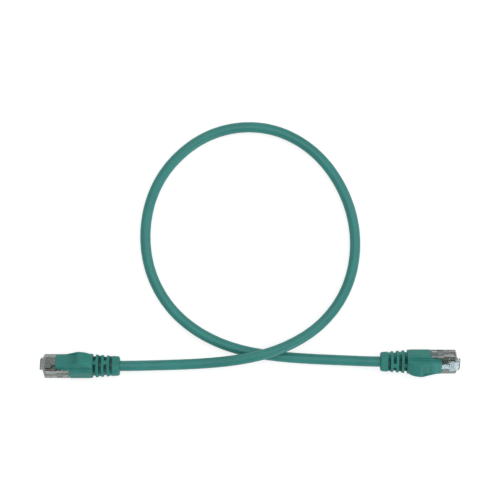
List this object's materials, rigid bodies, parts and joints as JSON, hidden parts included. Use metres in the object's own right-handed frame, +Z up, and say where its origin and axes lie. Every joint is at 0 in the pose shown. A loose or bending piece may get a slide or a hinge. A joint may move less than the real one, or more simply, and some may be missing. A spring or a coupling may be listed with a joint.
{
  "type": "ethernet patch cable",
  "caption": "Short teal ethernet patch cable lying in one open loop, with a clear modular plug, a sprung latch and a ribbed snagless boot at each end.",
  "frame": {"origin": "on the surface the cable lies on, midway between the two plugs", "axes": "+X from plug A towards plug B, +Y from the plugs towards the cable's loop, +Z up from the surface"},
  "size_m": [0.233, 0.1425, 0.0164],
  "materials": {
    "clear_polycarbonate": "clear moulded polycarbonate",
    "load_bar_polycarbonate": "clear moulded polycarbonate",
    "boot_pvc": "satin moulded soft PVC",
    "jacket_pvc": "satin extruded PVC",
    "gold_plate": "gold plate",
    "separator_pe": "natural polyethylene",
    "wire_white_orange": "extruded polyethylene insulation",
    "wire_orange": "extruded polyethylene insulation",
    "wire_white_green": "extruded polyethylene insulation",
    "wire_blue": "extruded polyethylene insulation",
    "wire_white_blue": "extruded polyethylene insulation",
    "wire_green": "extruded polyethylene insulation",
    "wire_white_brown": "extruded polyethylene insulation",
    "wire_brown": "extruded polyethylene insulation"
  },
  "bodies": {
    "cable": {"plug_a_housing": "clear_polycarbonate", "plug_a_load_bar": "load_bar_polycarbonate", "plug_a_boot": "boot_pvc", "plug_a_contact_1": "gold_plate", "plug_a_contact_2": "gold_plate", "plug_a_contact_3": "gold_plate", "plug_a_contact_4": "gold_plate", "plug_a_contact_5": "gold_plate", "plug_a_contact_6": "gold_plate", "plug_a_contact_7": "gold_plate", "plug_a_contact_8": "gold_plate", "plug_b_housing": "clear_polycarbonate", "plug_b_load_bar": "load_bar_polycarbonate", "plug_b_boot": "boot_pvc", "plug_b_contact_1": "gold_plate", "plug_b_contact_2": "gold_plate", "plug_b_contact_3": "gold_plate", "plug_b_contact_4": "gold_plate", "plug_b_contact_5": "gold_plate", "plug_b_contact_6": "gold_plate", "plug_b_contact_7": "gold_plate", "plug_b_contact_8": "gold_plate", "cable_jacket": "jacket_pvc", "pair_separator": "separator_pe", "wire_1": "wire_white_orange", "wire_2": "wire_orange", "wire_3": "wire_white_green", "wire_4": "wire_blue", "wire_5": "wire_white_blue", "wire_6": "wire_green", "wire_7": "wire_white_brown", "wire_8": "wire_brown"},
    "latch_a": {"plug_a_latch": "clear_polycarbonate"},
    "latch_b": {"plug_b_latch": "clear_polycarbonate"}
  },
  "joints": [
    {"name": "latch_a_press", "type": "hinge", "parent": "cable", "child": "latch_a", "pos_m": [-0.11555, -0.00003, 0.00805], "axis": [0, 0.866, -0.5], "range_deg": [0, 8.5], "stiffness_Nm_per_rad": 0.2},
    {"name": "latch_b_press", "type": "hinge", "parent": "cable", "child": "latch_b", "pos_m": [0.11555, 0.00003, 0.00805], "axis": [0, -0.866, -0.5], "range_deg": [0, 8.5], "stiffness_Nm_per_rad": 0.2}
  ]
}
